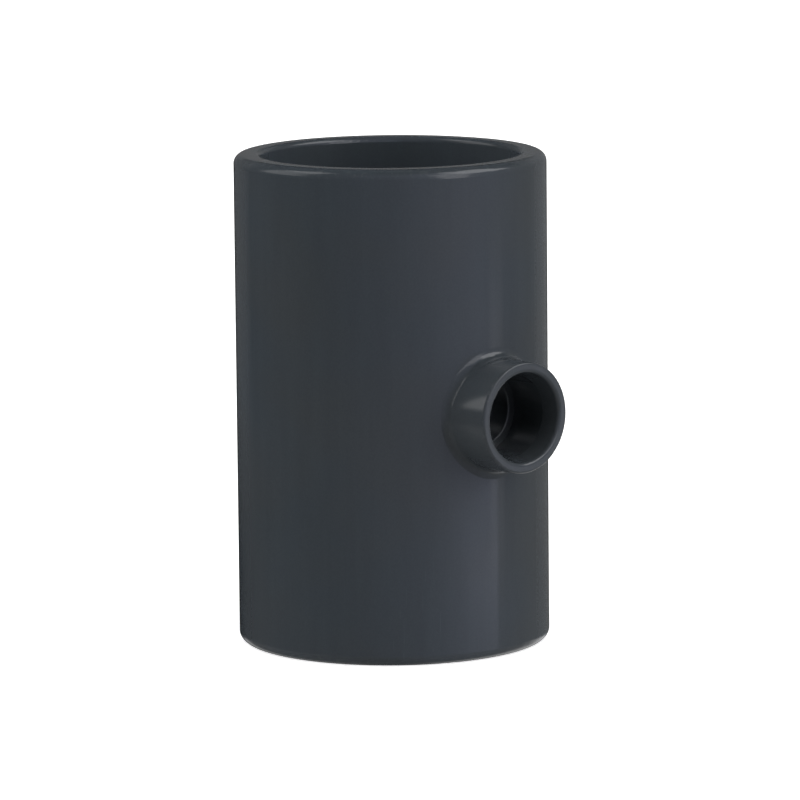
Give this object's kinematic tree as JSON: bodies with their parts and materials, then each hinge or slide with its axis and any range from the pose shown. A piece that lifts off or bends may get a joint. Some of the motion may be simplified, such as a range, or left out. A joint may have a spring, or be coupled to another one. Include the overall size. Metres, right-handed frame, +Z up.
{
  "type": "reducing pipe tee",
  "caption": "Straight thick-walled pipe barrel with a plain pipe socket in each end and a small socketed branch stub leaving its side at half height.",
  "frame": {"origin": "centre of the lower end face of the barrel, which the tee stands on", "axes": "+Z up the barrel's axis, +X out along the branch's axis"},
  "size_m": [0.0865, 0.0762, 0.12],
  "materials": {
    "dark_grey_pvc": "smooth, glossy moulded PVC-U, dark grey right through"
  },
  "bodies": {
    "root": {"tee_body": "dark_grey_pvc"}
  },
  "joints": []
}
